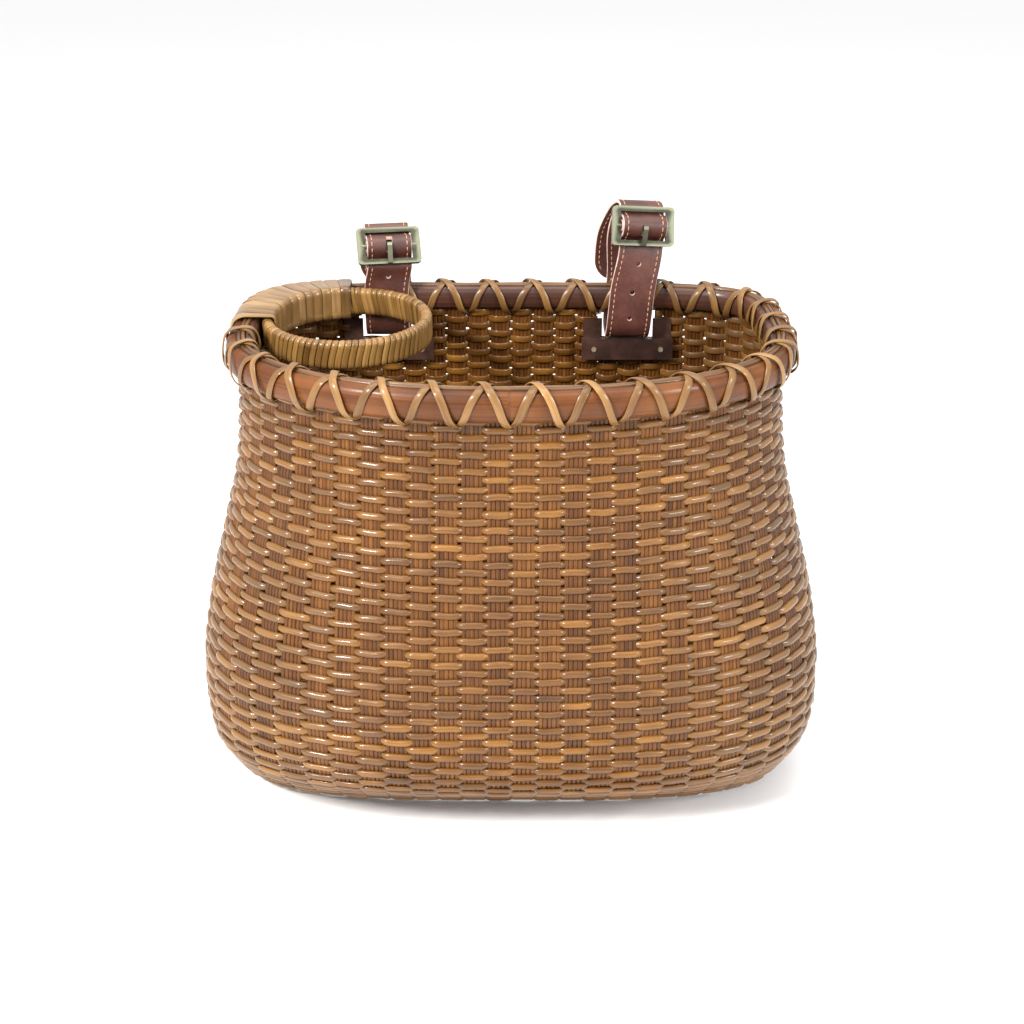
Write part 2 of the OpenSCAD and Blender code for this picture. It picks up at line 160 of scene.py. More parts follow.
class Strands:
    """collects swept strands; each ring of the sweep is a cross-section in (side, out) axes"""
    def __init__(self): self.V, self.F, self.S, self.R, self.n = [], [], [], [], 0
    def add(self, P, side, out, prof, closed, rnd, scale=None, s0=0.0):
        P = np.asarray(P, float); m = len(P); k = len(prof)
        prof = np.asarray(prof, float)
        sc = np.ones(m) if scale is None else scale
        V = P[:, None, :] + side[:, None, :]*(prof[None, :, 0, None]*sc[:, None, None]) + out[:, None, :]*(prof[None, :, 1, None]*sc[:, None, None])
        L = np.concatenate([[0], np.cumsum(np.linalg.norm(np.diff(P, axis=0), axis=1))]) + s0
        S = np.zeros((m, k, 3)); S[:, :, 0] = L[:, None]*MM; S[:, :, 1] = prof[None, :, 0]*MM; S[:, :, 2] = prof[None, :, 1]*MM
        i = np.arange(m if closed else m - 1)[:, None]; j = np.arange(k)[None, :]
        a = i*k + j; b = i*k + (j+1) % k; c = ((i+1) % m)*k + (j+1) % k; d = ((i+1) % m)*k + j
        q = np.stack([a, b, c, d], -1).reshape(-1, 4) + self.n
        self.F.append(q)
        if not closed:
            self.caps = getattr(self, "caps", [])
            self.caps.append(np.arange(k)[::-1] + self.n); self.caps.append(np.arange(k) + self.n + (m-1)*k)
        self.V.append(V.reshape(-1, 3)); self.S.append(S.reshape(-1, 3)); self.R.append(np.full(m*k, rnd)); self.n += m*k
    def make(self, name, mats, smooth=True, angle=None):
        V = np.concatenate(self.V); Q = np.concatenate(self.F)
        caps = getattr(self, "caps", [])
        F = Q if not caps else [f for f in Q] + caps
        return new_obj(name, V, F, mats, attrs={"st": ("FLOAT_VECTOR", np.concatenate(self.S)), "rnd": ("FLOAT", np.concatenate(self.R))}, smooth=smooth, angle=angle)

def half_round(w, t, k=4, base=0.18):
    """dome outward (+out), nearly flat back, width w along side"""
    pts = []
    for a in np.linspace(0, math.pi, k + 1):
        pts.append((0.5*w*math.cos(a), -0.5*t + t*(base + (1 - base)*math.sin(a))))
    pts.append((-0.36*w, -0.5*t)); pts.append((0.36*w, -0.5*t))
    return pts[::-1]
def flat_strip(w, t):
    a, b = 0.5*w, 0.5*t
    return [(-a, -0.25*b), (-0.80*a, -b), (0.80*a, -b), (a, -0.25*b), (a, 0.3*b), (0.72*a, 0.92*b), (0, 1.12*b), (-0.72*a, 0.92*b), (-a, 0.3*b)]
def round_sec(r, k=6): return [(r*math.cos(2*math.pi*i/k), r*math.sin(2*math.pi*i/k)) for i in range(k)]

# ---------------------------------------------------------------- materials
def nodes(name):
    m = bpy.data.materials.new(name); m.use_nodes = True
    nt = m.node_tree; b = nt.nodes["Principled BSDF"]
    return m, nt, b
def N(nt, kind, **kw):
    n = nt.nodes.new(kind)
    for k, v in kw.items():
        if k in ("operation", "blend_type", "data_type", "attribute_name", "noise_dimensions", "feature", "interpolation_type", "wave_type", "bands_direction", "distance"):
            setattr(n, k, v)
        else: n.inputs[k].default_value = v
    return n
def ramp(nt, fac, stops, interp="LINEAR"):
    r = nt.nodes.new("ShaderNodeValToRGB"); r.color_ramp.interpolation = interp
    el = r.color_ramp.elements
    while len(el) < len(stops): el.new(0.5)
    for e, (p, c) in zip(el, stops):
        e.position = p; e.color = (*c, 1)
    nt.links.new(fac, r.inputs[0]); return r.outputs[0]
def mix(nt, a, b, fac, mode="MIX"):
    n = nt.nodes.new("ShaderNodeMix"); n.data_type = "RGBA"; n.blend_type = mode
    for s, v in ((n.inputs[0], fac), (n.inputs[6], a), (n.inputs[7], b)):
        if hasattr(v, "node"): nt.links.new(v, s)
        elif isinstance(v, (int, float)): s.default_value = v
        else: s.default_value = (*v, 1)
    return n.outputs[2]
def math_(nt, op, a, b=0.0, c=0.0):
    n = nt.nodes.new("ShaderNodeMath"); n.operation = op
    for s, v in zip(n.inputs, (a, b, c)):
        if hasattr(v, "node"): nt.links.new(v, s)
        else: s.default_value = v
    return n.outputs[0]
def srgb(r, g, b):
    f = lambda c: (c/255/12.92 if c/255 <= 0.04045 else ((c/255 + 0.055)/1.055)**2.4)
    return (f(r), f(g), f(b))

def cane_mat(name, dark, mid, light, rough=0.34, coat=0.5, var=0.6, painted_side_glare=None, bump=0.25, fibre=(22, 1500, 1500), knots=0.0, coat_rough=0.18, spec=0.3):
    m, nt, b = nodes(name)
    at = N(nt, "ShaderNodeAttribute", attribute_name="st")
    rn = N(nt, "ShaderNodeAttribute", attribute_name="rnd")
    off = nt.nodes.new("ShaderNodeVectorMath"); off.operation = "MULTIPLY_ADD"
    cb = nt.nodes.new("ShaderNodeCombineXYZ")
    for i in range(3): nt.links.new(rn.outputs["Fac"], cb.inputs[i])
    nt.links.new(cb.outputs[0], off.inputs[0]); off.inputs[1].default_value = (3.1, 1.7, 2.3)
    nt.links.new(at.outputs["Vector"], off.inputs[2])
    def field(scale, detail, rough_):
        mp = nt.nodes.new("ShaderNodeMapping"); mp.inputs["Scale"].default_value = scale
        nt.links.new(off.outputs[0], mp.inputs["Vector"])
        n = N(nt, "ShaderNodeTexNoise", Scale=1.0, Detail=detail, Roughness=rough_)
        nt.links.new(mp.outputs[0], n.inputs["Vector"]); return n.outputs[0]
    fib = field(fibre, 3, 0.6)
    blot = field((38, 60, 60), 2, 0.5)
    big = field((9, 12, 12), 2, 0.5)
    # per-strand tone
    tone = math_(nt, "ADD", math_(nt, "MULTIPLY", blot, 0.55), math_(nt, "MULTIPLY", big, 0.45))
    tone = math_(nt, "ADD", tone, math_(nt, "MULTIPLY", math_(nt, "SUBTRACT", rn.outputs["Fac"], 0.5), 0.42*var))
    col = ramp(nt, tone, [(0.26, dark), (0.5, mid), (0.74, light)])
    streak = ramp(nt, fib, [(0.30, (0.52, 0.44, 0.38)), (0.52, (1, 1, 1)), (0.75, (1.0, 1.0, 1.0))])
    col = mix(nt, col, streak, 0.75, "MULTIPLY")
    if knots:
        kn = field((14, 4, 4), 1, 0.3)
        kc = ramp(nt, kn, [(0.28, (0.35, 0.25, 0.2)), (0.33, (1, 1, 1))])
        col = mix(nt, col, kc, knots, "MULTIPLY")
    # painted glare: towards the left and right sides (|x| from 45 to 135 mm) the cane colour is mixed with a pale
    # grey-brown that stands in for the sheen of light on the sides
    if painted_side_glare:
        tc = nt.nodes.new("ShaderNodeTexCoord"); sx = nt.nodes.new("ShaderNodeSeparateXYZ")
        nt.links.new(tc.outputs["Object"], sx.inputs[0])
        ax = math_(nt, "ABSOLUTE", sx.outputs[0])
        mr = nt.nodes.new("ShaderNodeMapRange"); mr.inputs[1].default_value = 0.045; mr.inputs[2].default_value = 0.135
        nt.links.new(ax, mr.inputs[0])
        col = mix(nt, col, painted_side_glare, math_(nt, "MULTIPLY", mr.outputs[0], 0.38))
    nt.links.new(col, b.inputs["Base Color"])
    rr = nt.nodes.new("ShaderNodeMapRange"); rr.inputs[3].default_value = rough - 0.08; rr.inputs[4].default_value = rough + 0.14
    nt.links.new(fib, rr.inputs[0]); nt.links.new(rr.outputs[0], b.inputs["Roughness"])
    b.inputs["Coat Weight"].default_value = coat; b.inputs["Coat Roughness"].default_value = coat_rough
    b.inputs["Specular IOR Level"].default_value = spec
    bp = N(nt, "ShaderNodeBump", Strength=bump, Distance=0.0004)
    nt.links.new(fib, bp.inputs["Height"]); nt.links.new(bp.outputs[0], b.inputs["Normal"])
    return m

# the pale grey-brown given here for the weave's sides is painted glare, not the cane's own colour
M_weave = cane_mat("m_weave", srgb(70, 42, 11), srgb(102, 64, 18), srgb(139, 93, 32), rough=0.34, coat=0.36, var=0.42, painted_side_glare=srgb(130, 104, 74), coat_rough=0.12)
M_stake = cane_mat("m_stake", srgb(60, 33, 8), srgb(92, 53, 14), srgb(120, 75, 24), rough=0.40, coat=0.12, var=0.4, coat_rough=0.12)
M_base = cane_mat("m_base", srgb(110, 66, 36), srgb(160, 102, 56), srgb(196, 140, 86), rough=0.42, coat=0.35)
M_hoop = cane_mat("m_hoop", srgb(50, 27, 10), srgb(92, 50, 18), srgb(128, 78, 34), rough=0.40, coat=0.16, fibre=(10, 900, 900), bump=0.45, knots=0.7, spec=0.2)
# the inner hoop's dark purple-brown is partly its own colour and partly painted shade, read where the hoop lies in
# shadow inside the rim
M_inner = cane_mat("m_inner", srgb(44, 26, 19), srgb(74, 44, 32), srgb(98, 62, 44), rough=0.4, coat=0.25, fibre=(12, 700, 700), bump=0.35)
M_cap = cane_mat("m_cap", srgb(72, 46, 22), srgb(108, 74, 38), srgb(140, 102, 60), rough=0.42, coat=0.35)
M_lash = cane_mat("m_lash", srgb(76, 50, 22), srgb(116, 82, 42), srgb(152, 114, 66), rough=0.38, coat=0.25, fibre=(18, 1200, 1200), var=0.8)
M_ring = cane_mat("m_ring", srgb(84, 58, 27), srgb(128, 94, 48), srgb(160, 122, 70), rough=0.34, coat=0.3, fibre=(18, 1200, 1200), var=0.35)
M_bind = cane_mat("m_bind", srgb(86, 62, 34), srgb(128, 96, 56), srgb(162, 130, 86), rough=0.32, coat=0.5, fibre=(18, 1000, 1000), var=0.35)
M_core = cane_mat("m_core", srgb(58, 36, 20), srgb(84, 54, 30), srgb(110, 74, 42))

def solid_mat(name, c1, c2, rough, metallic=0.0, scale=220, bump=0.2, coat=0.0, edge=None, dist=0.0003):
    m, nt, b = nodes(name)
    tc = nt.nodes.new("ShaderNodeTexCoord")
    n1 = N(nt, "ShaderNodeTexNoise", Scale=scale, Detail=4.0, Roughness=0.6); nt.links.new(tc.outputs["Object"], n1.inputs["Vector"])
    n2 = N(nt, "ShaderNodeTexNoise", Scale=scale*6, Detail=3.0, Roughness=0.6); nt.links.new(tc.outputs["Object"], n2.inputs["Vector"])
    col = ramp(nt, n1.outputs[0], [(0.35, c1), (0.68, c2)])
    # painted highlight: sharp convex edges (high pointiness) are mixed towards a lighter colour
    if edge:
        g = nt.nodes.new("ShaderNodeNewGeometry")
        e = ramp(nt, g.outputs["Pointiness"], [(0.50, (0, 0, 0)), (0.56, (1, 1, 1))])
        col = mix(nt, col, edge, e)
    nt.links.new(col, b.inputs["Base Color"])
    rr = nt.nodes.new("ShaderNodeMapRange"); rr.inputs[3].default_value = rough - 0.08; rr.inputs[4].default_value = rough + 0.12
    nt.links.new(n1.outputs[0], rr.inputs[0]); nt.links.new(rr.outputs[0], b.inputs["Roughness"])
    b.inputs["Metallic"].default_value = metallic
    b.inputs["Coat Weight"].default_value = coat
    bp = N(nt, "ShaderNodeBump", Strength=bump, Distance=dist)
    nt.links.new(n2.outputs[0], bp.inputs["Height"]); nt.links.new(bp.outputs[0], b.inputs["Normal"])
    return m
M_dark = solid_mat("m_dark_wood", srgb(40, 24, 19), srgb(70, 43, 32), 0.42, scale=90, bump=0.25, coat=0.2)
M_pin = solid_mat("m_pin", srgb(168, 150, 120), srgb(206, 192, 160), 0.38, metallic=0.75, scale=300)
# the pale edge colour of the bronze is a painted highlight along the buckle's edges
M_bronze = solid_mat("m_bronze", srgb(52, 52, 41), srgb(76, 76, 61), 0.40, metallic=0.8, scale=160, bump=0.12, edge=srgb(122, 122, 102))

def leather_mat():
    m, nt, b = nodes("m_leather")
    tc = nt.nodes.new("ShaderNodeTexCoord")
    v = N(nt, "ShaderNodeTexVoronoi", Scale=1500.0, feature="F1"); nt.links.new(tc.outputs["Object"], v.inputs["Vector"])
    n1 = N(nt, "ShaderNodeTexNoise", Scale=60.0, Detail=5.0, Roughness=0.6); nt.links.new(tc.outputs["Object"], n1.inputs["Vector"])
    n2 = N(nt, "ShaderNodeTexNoise", Scale=700.0, Detail=4.0, Roughness=0.65); nt.links.new(tc.outputs["Object"], n2.inputs["Vector"])
    col = ramp(nt, n1.outputs[0], [(0.30, srgb(58, 31, 26)), (0.52, srgb(80, 45, 37)), (0.75, srgb(100, 60, 50))])
    col = mix(nt, col, ramp(nt, n2.outputs[0], [(0.3, (0.72, 0.68, 0.66)), (0.6, (1, 1, 1))]), 0.6, "MULTIPLY")
    nt.links.new(col, b.inputs["Base Color"])
    rr = nt.nodes.new("ShaderNodeMapRange"); rr.inputs[3].default_value = 0.36; rr.inputs[4].default_value = 0.58
    nt.links.new(n2.outputs[0], rr.inputs[0]); nt.links.new(rr.outputs[0], b.inputs["Roughness"])
    h = math_(nt, "ADD", math_(nt, "MULTIPLY", v.outputs[0], 0.6), math_(nt, "MULTIPLY", n2.outputs[0], 0.5))
    bp = N(nt, "ShaderNodeBump", Strength=0.28, Distance=0.00025)
    nt.links.new(h, bp.inputs["Height"]); nt.links.new(bp.outputs[0], b.inputs["Normal"])
    return m
M_leather = leather_mat()
M_ledge = solid_mat("m_leather_edge", srgb(196, 160, 148), srgb(226, 196, 186), 0.6, scale=400, bump=0.4)
M_thread = solid_mat("m_thread", srgb(172, 122, 94), srgb(200, 152, 122), 0.62, scale=2500, bump=0.6, dist=0.0001)

# ---------------------------------------------------------------- wall: rows of weavers
zz = np.linspace(2.0, 188.5, 1500)
dA, dF = np.gradient(fA(zz), zz), np.gradient(fF(zz), zz)
ds = 0.5*np.sqrt(1 + dA**2) + 0.5*np.sqrt(1 + dF**2)
sl = np.concatenate([[0], np.cumsum(0.5*(ds[1:] + ds[:-1])*np.diff(zz))])
PITCH = 3.42
NR = int(sl[-1]//PITCH)
rows_z = np.interp((np.arange(NR) + 0.2)*PITCH, sl, zz)
MID = -1.95           # middle of the wall, from its outer surface
SLOTS = [(-59.5, 24.5/2), (56.5, 24.5/2)]
SPS = 8
NU = NS*SPS
U = np.arange(NU)/NU
wave_seed = rng.rand(NR, 4)*2*math.pi

def weaver(S, i, z):
    r = rng.rand()
    p, tg, up, n = surf_frame(z, U)
    ph = math.cos(0)
    c = np.cos(math.pi*(NS*U - 0.5 + i))
    f = np.sin(0.5*math.pi*np.clip(c*1.35 + 0.5, -1, 1))
    amp = 1.36
    w = wave_seed[i]
    dz = 0.22*np.sin(2*math.pi*3*U + w[0]) + 0.16*np.sin(2*math.pi*11*U + w[1]) + 0.10*np.sin(2*math.pi*NS*U + w[2])
    ja, jb, jc = (rng.randn(NS) for _ in range(3))
    kx = NS*U - 0.5; k0 = np.floor(kx).astype(int); kf = ease(kx - k0)
    lerp = lambda q: q[k0 % NS]*(1 - kf) + q[(k0 + 1) % NS]*kf
    dz = dz + 0.17*lerp(ja)
    hs = 1 + 0.05*np.sin(2*math.pi*7*U + w[3]) + 0.06*np.clip(lerp(jb), -2, 1.4)
    ins = 0.10*lerp(jc)
    P = p + n*(MID + amp*f + ins)[:, None] + up*dz[:, None]
    prof = np.array(half_round(3.42, 1.85))
    # rows that meet a strap slot are open there
    if z > 172.6:
        inside = np.zeros(NU, bool)
        for cx, hw in SLOTS:
            inside |= (np.abs(P[:, 0] - cx) < hw + 0.8) & (P[:, 1] > 60)
        k = np.where(~inside & np.roll(inside, 1))[0][0]
        idx = np.roll(np.arange(NU), -k)
        run = []
        for j in list(idx) + [None]:
            if j is None or inside[j]:
                if len(run) > 3:
                    S.add(P[run], up[run], n[run], prof, False, r, hs[run])
                run = []
            else: run.append(j)
    else:
        S.add(P, up, n, prof, True, r, hs)

groups = np.array_split(np.arange(NR), 4)
for g, rows in enumerate(groups):
    S = Strands()
    for i in rows: weaver(S, i, rows_z[i])
    ob = S.make("weave_rows_%d" % (g + 1), M_weave)
    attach(ob, "basket"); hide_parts("woven_wall")

# ---------------------------------------------------------------- uprights: bundles of four fine canes
zs_up = np.concatenate([[1.9], rows_z, [191.5, 194.5]])
cols = {}
lev = []
for z in zs_up:
    lev.append((z,))
def stake_levels(us):
    return [surf_frame(z, us) for z in zs_up]
us = (np.arange(NS) + 0.5)/NS
L0 = stake_levels(us)
parts = [Strands() for _ in range(2)]
for k in range(NS):
    wj = 0.97 + 0.08*rng.rand()
    tone = rng.rand()
    for q in range(5):
        a = (q - 2)*1.80*wj + 0.12*(rng.rand() - 0.5)
        P, side, out = [], [], []
        for li, z in enumerate(zs_up):
            p, tg, up, n = L0[li]
            i = li - 1
            sgn = 0.0
            if 0 <= i < NR: sgn = -math.cos(math.pi*(k + i))*0.22
            depth = MID + sgn + (0.12, 0.16, 0.2, 0.16, 0.12)[q] - 0.1
            if any(abs(p[k][0] - cx) < hw + 3.2 and p[k][1] > 60 for cx, hw in SLOTS) and z > 173: break
            P.append(p[k] + tg[k]*a + n[k]*depth); side.append(tg[k]); out.append(n[k])
        parts[k % 2].add(np.array(P), np.array(side), np.array(out), [(1.04*x, 0.74*y) for x, y in round_sec(1.0, 8)], False, min(1, max(0, tone + 0.35*(rng.rand() - 0.5))))
for g, S in enumerate(parts):
    ob = S.make("upright_canes_%d" % (g + 1), M_stake)
    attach(ob, "basket"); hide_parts("wall_uprights")

# ---------------------------------------------------------------- base: crossed canes
S = Strands()
ow = sec0(0.6, np.linspace(0, 2*math.pi, 721))
def chord(axis, v, inset):
    d = ow[:, axis] - v
    cr = np.where(d[:-1]*d[1:] <= 0)[0]
    x = [ow[c, 1-axis] + (ow[c+1, 1-axis] - ow[c, 1-axis])*d[c]/(d[c] - d[c+1] + 1e-9) for c in cr]
    if len(x) < 2: return None
    return min(x) + inset, max(x) - inset
sx = np.linspace(-104, 104, 20)
iy = 0
for y in np.arange(-57.5, 62, 3.55):
    c = chord(1, y, 0.3)
    if c is None or c[1] - c[0] < 20: continue
    x = np.arange(c[0], c[1], 1.7)
    f = np.sin(0.5*math.pi*np.clip(1.12*np.cos(math.pi*((x - sx[0])/(sx[1] - sx[0]) + iy)), -1, 1))
    P = np.column_stack([x, y + 0.2*np.sin(x*0.07 + iy), 1.95 - 1.02*f])
    n = len(x)
    S.add(P, np.tile([0, 1.0, 0], (n, 1)), np.tile([0, 0, -1.0], (n, 1)), half_round(3.5, 1.5), False, rng.rand())
    iy += 1
for x0 in sx:
    c = chord(0, x0, 0.4)
    if c is None: continue
    for q in range(4):
        xx = x0 + (q - 1.5)*1.7
        y = np.arange(c[0], c[1], 3.55)
        P = np.column_stack([np.full(len(y), xx), y, 1.95 + 0.12*np.cos(math.pi*y/3.55)])
        n = len(y)
        S.add(P, np.tile([1.0, 0, 0], (n, 1)), np.tile([0, 0, 1.0], (n, 1)), round_sec(0.86, 6), False, rng.rand())
ob = S.make("base_mat", M_base)
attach(ob, "basket"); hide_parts("woven_base")

# ---------------------------------------------------------------- rim
def rim_frame(u):
    t = t_at(190.0, u); e = 0.006
    p = sec0(190.0, t); d = sec0(190.0, t + e) - sec0(190.0, t - e)
    d /= np.linalg.norm(d, axis=1)[:, None]
    n = np.column_stack([d[:, 1], -d[:, 0]])
    return np.column_stack([p, np.zeros(len(p))]), np.column_stack([d, np.zeros(len(p))]), np.column_stack([n, np.zeros(len(p))])
UPV = np.array([0, 0, 1.0])
RING = (-74.5, 28.6); RI, RO, RZ0, RH = 33.5, 38.5, 188.5, 13.0
def rim_sweep(name, prof, mat, node, wob=0.0, notch=False, nu=512):
    u = np.arange(nu)/nu
    p, tg, n = rim_frame(u)
    r = rng.rand(6)*6.28
    dz = wob*(np.sin(2*math.pi*5*u + r[0]) + 0.6*np.sin(2*math.pi*13*u + r[1]))
    up = np.tile(UPV, (nu, 1))
    P = p + up*dz[:, None]
    S = Strands(); S.add(P, n, up, prof, True, 0.5)
    V = S.V[0]
    if notch:
        d = V[:, :2] - np.array(RING); rr = np.linalg.norm(d, axis=1); near = rr < RO + 0.35
        V[near, :2] = np.array(RING) + d[near]/rr[near][:, None]*(RO + 0.35)
    ob = S.make(name, mat)
    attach(ob, "basket"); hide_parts(node)
    return ob
o = []
for a in np.linspace(-90, 90, 11):
    a = math.radians(a)
    o.append((0.35 + 4.65*max(0, math.cos(a))**0.75, 192.75 + 6.6*math.copysign(abs(math.sin(a))**0.8, a)))
rim_sweep("rim_hoop_outer", [(0.06, 199.2)] + [(0.06, 186.3)] + o, M_hoop, "rim_outer_hoop", wob=0.12)
o = []
for a in np.linspace(90, 270, 9):
    a = math.radians(a)
    o.append((-4.0 - 3.1*abs(math.cos(a))**0.7, 193.8 + 5.5*math.copysign(abs(math.sin(a))**0.8, math.sin(a))))
rim_sweep("rim_hoop_inner", o + [(-3.9, 188.6), (-3.9, 199.0)], M_inner, "rim_inner_hoop", wob=0.08, notch=True)
S = Strands()
for k in (-0.95, -2.85):
    u = np.arange(512)/512
    p, tg, n = rim_frame(u)
    r = rng.rand(3)*6.28
    P = p + n*(k + 0.15*np.sin(2*math.pi*9*u + r[0]))[:, None] + UPV*(199.2 + 0.12*np.sin(2*math.pi*12*u + r[1]))[:, None]
    S.add(P, n, np.tile(UPV, (512, 1)), round_sec(0.93, 10), True, rng.rand())
ob = S.make("rim_caps", M_cap)
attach(ob, "basket"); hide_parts("rim_cap_canes")

# lashing
LASH = np.array([[0.6, 184.9], [5.1, 187.9], [5.35, 194.8], [3.7, 199.4], [-2.0, 200.7], [-6.2, 199.3], [-7.7, 195.2], [-7.2, 188.6]])
def loop_pt(ph):
    ph = np.mod(ph, 1.0)*8; i = np.floor(ph).astype(int); t = (ph - i)[:, None]
    a, b, c, d = (LASH[(i + k) % 8] for k in (-1, 0, 1, 2))
    return 0.5*((2*b) + (c - a)*t + (2*a - 5*b + 4*c - d)*t*t + (3*b - a - 3*c + d)*t**3)
NL = NS//2
def bound(u):
    p = rim_frame(np.array([u]))[0][0]
    return p[0] < -66 and p[1] > 12
free = [i for i in range(NL) if not bound((i + 0.05)/NL) and not bound((i + 0.95)/NL)]
gap_at = [free[k] for k in range(1, len(free)) if free[k] - free[k-1] > 1][0]
for name, node, sg, lift in (("lashing_first", "rim_lashing_a", 1, 0.0), ("lashing_second", "rim_lashing_b", -1, 0.75)):
    m = len(free); q = 26
    ph = np.arange(m*q + 1)/q
    u = (gap_at + (ph if sg > 0 else m - ph))/NL
    # cane is pulled tight: the passes over the faces lean, and the crossing at the top is quick
    p, tg, n = rim_frame(u)
    oz = loop_pt(ph); e = oz - np.array([-2.3, 193.0]); en = e/np.linalg.norm(e, axis=1)[:, None]
    wob = 0.12*np.sin(ph*2.3 + sg)
    oz = oz + en*(lift + wob)[:, None]
    P = p + n*oz[:, :1] + UPV*oz[:, 1:]
    out = n*en[:, :1] + UPV*en[:, 1:]
    tgt = np.gradient(P, axis=0); tgt /= np.linalg.norm(tgt, axis=1)[:, None]
    side = np.cross(out, tgt); side /= np.linalg.norm(side, axis=1)[:, None]
    out = np.cross(tgt, side)
    S = Strands(); S.add(P, side, out, flat_strip(3.1, 0.75), False, 0.35 if sg > 0 else 0.65, 1 + 0.06*np.sin(ph*1.7))
    ob = S.make(name, M_lash, angle=60)
    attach(ob, "basket"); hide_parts(node)

# ---------------------------------------------------------------- cup ring
def rrect(x0, x1, z0, z1, r, nseg=5):
    pts = []
    for cx, cz, a0 in ((x1 - r, z1 - r, 0), (x0 + r, z1 - r, 90), (x0 + r, z0 + r, 180), (x1 - r, z0 + r, 270)):
        for a in np.linspace(a0, a0 + 90, nseg):
            pts.append((cx + r*math.cos(math.radians(a)), cz + r*math.sin(math.radians(a))))
    return np.array(pts)
def resample(P, n):
    Q = np.vstack([P, P[:1]]); s = np.concatenate([[0], np.cumsum(np.linalg.norm(np.diff(Q, axis=0), axis=1))])
    t = np.arange(n)/n*s[-1]
    return np.column_stack([np.interp(t, s, Q[:, k]) for k in range(Q.shape[1])])
TILT = math.radians(2.6)
def tilt_ring(V):
    o = np.array([RING[0], RING[1] + RO, RZ0 + RH/2]); d = np.asarray(V) - o; c, s_ = math.cos(TILT), math.sin(TILT)
    return o + np.column_stack([d[:, 0], d[:, 1]*c - d[:, 2]*s_, d[:, 1]*s_ + d[:, 2]*c])
w_in = 0.45
base_sec = resample(rrect(RI + w_in, RO - w_in, RZ0 + w_in, RZ0 + RH - w_in, 1.7), 28)
NW = 80
S = Strands()
for k in range(NW):
    th0 = 2*math.pi*k/NW
    tl = 0.10*2*math.pi/NW*6
    m = 28
    j = np.arange(m)
    th = th0 + (2*math.pi/NW)*0.42*np.sin(2*math.pi*j/m + 0.6) + 0.006*(rng.rand() - 0.5)
    r = base_sec[:, 0]; z = base_sec[:, 1]
    nx = np.roll(base_sec, -1, 0) - np.roll(base_sec, 1, 0); nx /= np.linalg.norm(nx, axis=1)[:, None]
    on = np.column_stack([nx[:, 1], -nx[:, 0]])
    P = np.column_stack([RING[0] + r*np.cos(th), RING[1] + r*np.sin(th), z])
    out = np.column_stack([on[:, 0]*np.cos(th), on[:, 0]*np.sin(th), on[:, 1]])
    tgt = np.roll(P, -1, 0) - np.roll(P, 1, 0); tgt /= np.linalg.norm(tgt, axis=1)[:, None]
    side = np.cross(out, tgt); side /= np.linalg.norm(side, axis=1)[:, None]
    wr = 2*math.pi*36/NW
    S.add(P, side, out, flat_strip(wr*0.94, 0.9), True, rng.rand())
S.V = [tilt_ring(v) for v in S.V]
ob = S.make("cup_ring_wraps", M_ring, angle=60)
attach(ob, "basket"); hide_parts("cup_ring_wrap")

def reach(a):
    t = np.linspace(math.radians(180), math.radians(300), 1200)
    q = sec0(190.0, t); d = sec0(190.0, t + .006) - sec0(190.0, t - .006); d /= np.linalg.norm(d, axis=1)[:, None]
    q = q + np.column_stack([d[:, 1], -d[:, 0]])*5.0 - np.array(RING)
    e = np.abs(q[:, 0]*math.sin(a) - q[:, 1]*math.cos(a)) + np.where(q[:, 0]*math.cos(a) + q[:, 1]*math.sin(a) > 0, 0, 1e6)
    return np.linalg.norm(q[np.argmin(e)])
def round_poly(C, r, k=6):
    out = []; C = np.array(C, float); n = len(C)
    for i in range(n):
        a, b, c = C[i-1], C[i], C[(i+1) % n]
        u = (a - b)/np.linalg.norm(a - b); v = (c - b)/np.linalg.norm(c - b)
        rr = min(r[i], 0.45*np.linalg.norm(a - b), 0.45*np.linalg.norm(c - b))
        for t in np.linspace(0, 1, k):
            out.append((1-t)**2*(b + u*rr) + 2*t*(1-t)*b + t*t*(b + v*rr))
    return np.array(out)
def band_path(ro, a):
    d = (36*math.sin(a) - RO)*math.sin(TILT)
    # up the ring's inner face is the last side, so the loop runs counter-clockwise in (r, z)
    return resample(round_poly([[RI - 0.9, 187.5 + d], [ro - 6.8, 184.3], [ro - 1.8, 184.4], [ro + 0.3, 187.2], [ro + 0.3, 196.2], [ro - 1.2, 200.1], [ro - 5.1, 201.7], [RI - 0.9, 202.4 + d]], [2.6, 3.0, 2.4, 3.0, 4.0, 4.0, 4.0, 2.4]), 80)
S = Strands()
for i in range(13):
    a = math.radians(97 + 7.8*i + 0.5*(rng.rand() - 0.5))
    ro = reach(a) + 0.4
    P2 = band_path(ro, a)
    span = ro - RI
    dip = np.clip((span - 18)/20, 0, 1)*1.0*np.sin(np.clip((P2[:, 0] - RI - 4)/(span - 8), 0, 1)*math.pi)
    P2[:, 1] -= np.where(P2[:, 1] > 193, dip, -dip*0.4)
    nx = np.roll(P2, -1, 0) - np.roll(P2, 1, 0); nx /= np.linalg.norm(nx, axis=1)[:, None]
    on = np.column_stack([nx[:, 1], -nx[:, 0]])
    er = np.array([math.cos(a), math.sin(a), 0]); sd = np.array([-math.sin(a), math.cos(a), 0])
    P = np.array([RING[0], RING[1], 0]) + P2[:, :1]*er + P2[:, 1:]*UPV
    out = on[:, :1]*er + on[:, 1:]*UPV
    side = np.tile(sd, (len(P), 1))
    S.add(P, side, out, np.array(flat_strip(1.0, 1.0))*np.array([1.0, 0.95]), True, rng.rand(), None)
    V = S.V[-1].reshape(80, -1, 3); C_ = P[:, None, :]
    wid = P2[:, 0]*math.radians(7.8)*0.985
    across_ = ((V - C_) @ sd)[:, :, None]*sd
    S.V[-1] = (V + across_*(wid[:, None, None] - 1.0)).reshape(-1, 3)
ob = S.make("cup_ring_strips", M_bind, angle=60)
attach(ob, "basket"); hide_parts("cup_ring_binding")

